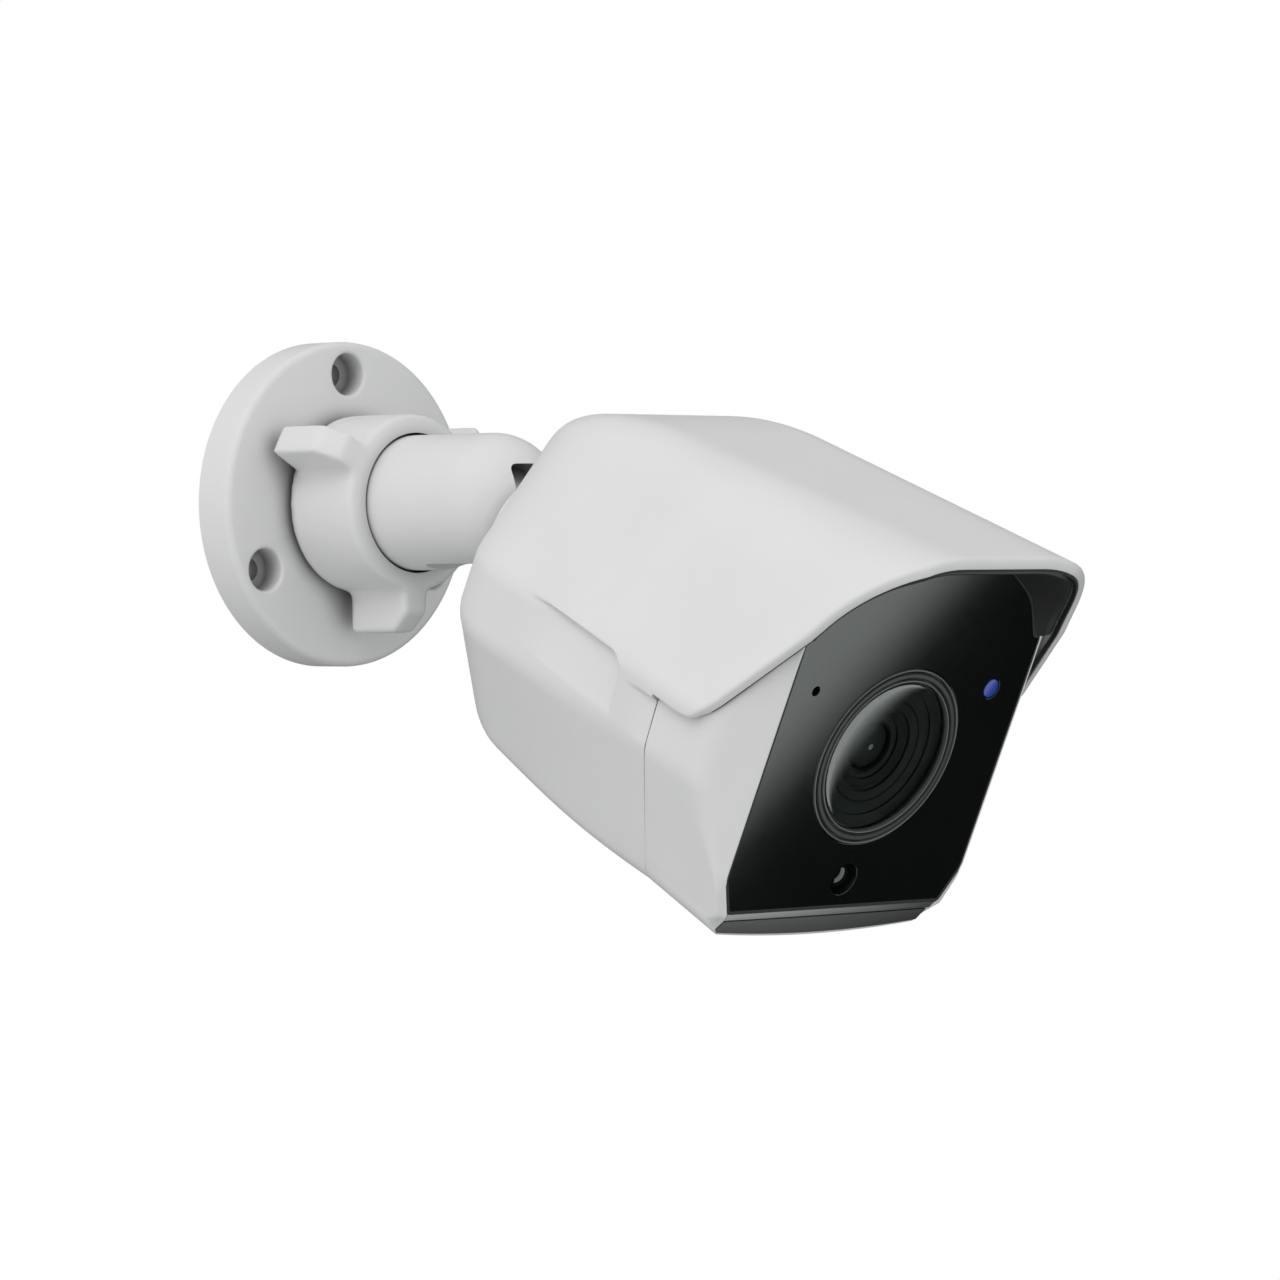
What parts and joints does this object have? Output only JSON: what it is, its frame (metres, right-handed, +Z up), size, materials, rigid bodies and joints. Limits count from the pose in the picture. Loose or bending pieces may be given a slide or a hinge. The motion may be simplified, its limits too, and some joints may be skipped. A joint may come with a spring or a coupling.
{
  "type": "security camera",
  "caption": "Compact outdoor bullet security camera with a tapered hooded housing, gloss black window and lens, on a wall bracket that pans, tilts and rolls.",
  "frame": {"origin": "centre of the wall flange's back face, where it meets the wall", "axes": "+Z up, -Y straight out from the wall along the bracket's arm, +X across along the tilt hinge; at rest the head is tilted 25.2 degrees down"},
  "size_m": [0.0938, 0.1975, 0.1212],
  "materials": {
    "shell_white": "fine matte texture",
    "bracket_white": "fine matte texture",
    "window_black": "polished",
    "trim_black": "satin",
    "seal_black": "matte",
    "optical_glass": "coated",
    "lamp_lens": "clear",
    "status_blue": "clear",
    "barrel_black": "anodised",
    "board_green": "solder mask",
    "chip_black": "moulded",
    "steel": "plain",
    "aluminium": "plain",
    "button_grey": "plain"
  },
  "bodies": {
    "bracket": {"wall_flange": "bracket_white"},
    "ring": {"locking_ring": "bracket_white"},
    "arm": {"arm_tube": "bracket_white", "collar_washer": "trim_black", "tilt_pin": "steel"},
    "knuckle": {"tilt_knuckle": "bracket_white", "neck_seal": "seal_black", "neck_nut": "steel"},
    "head": {"rear_housing": "shell_white", "front_cap": "shell_white", "housing_seal": "seal_black", "front_window": "window_black", "window_gasket": "seal_black", "lens_ring": "trim_black", "lens_glass": "optical_glass", "lens_barrel": "barrel_black", "lens_front_element": "optical_glass", "lens_rear_element": "optical_glass", "lens_mount": "trim_black", "infrared_filter": "optical_glass", "image_sensor": "chip_black", "sensor_board": "board_green", "chassis": "aluminium", "light_board": "board_green", "infrared_lamp_1": "lamp_lens", "infrared_lamp_2": "lamp_lens", "infrared_lamp_3": "lamp_lens", "infrared_lamp_4": "lamp_lens", "status_light": "status_blue", "microphone": "steel", "light_sensor_cover": "optical_glass", "light_sensor": "chip_black", "heat_spreader": "aluminium", "board_spacer_1": "steel", "board_spacer_2": "steel", "board_spacer_3": "steel", "board_spacer_4": "steel", "main_board": "board_green", "processor": "chip_black", "power_module": "chip_black", "network_socket": "steel", "cap_screw_1": "steel", "cap_screw_2": "steel", "cap_screw_3": "steel", "cap_screw_4": "steel", "hatch_cover": "shell_white", "hatch_screw_1": "steel", "hatch_screw_2": "steel", "service_board": "board_green", "card_slot": "steel", "reset_switch": "trim_black"},
    "button": {"reset_button": "button_grey"}
  },
  "joints": [
    {"name": "ring_turn", "type": "hinge", "parent": "bracket", "child": "ring", "pos_m": [0, -0.02, 0], "axis": [0, -1, 0], "range_deg": [0, 90]},
    {"name": "arm_pan", "type": "hinge", "parent": "bracket", "child": "arm", "pos_m": [0, -0.02, 0], "axis": [0, -1, 0], "range_deg": [-180, 180]},
    {"name": "head_tilt", "type": "hinge", "parent": "arm", "child": "knuckle", "pos_m": [0, -0.05445, 0], "axis": [1, 0, 0], "range_deg": [-25.2, 59.8]},
    {"name": "head_roll", "type": "hinge", "parent": "knuckle", "child": "head", "pos_m": [0, -0.05445, 0], "axis": [0, -0.9048, -0.4258], "range_deg": [-180, 180]},
    {"name": "reset_press", "type": "slide", "parent": "head", "child": "button", "axis": [0, -0.4787, 0.878], "range_m": [0, 0.0006], "stiffness_N_per_m": 400}
  ]
}
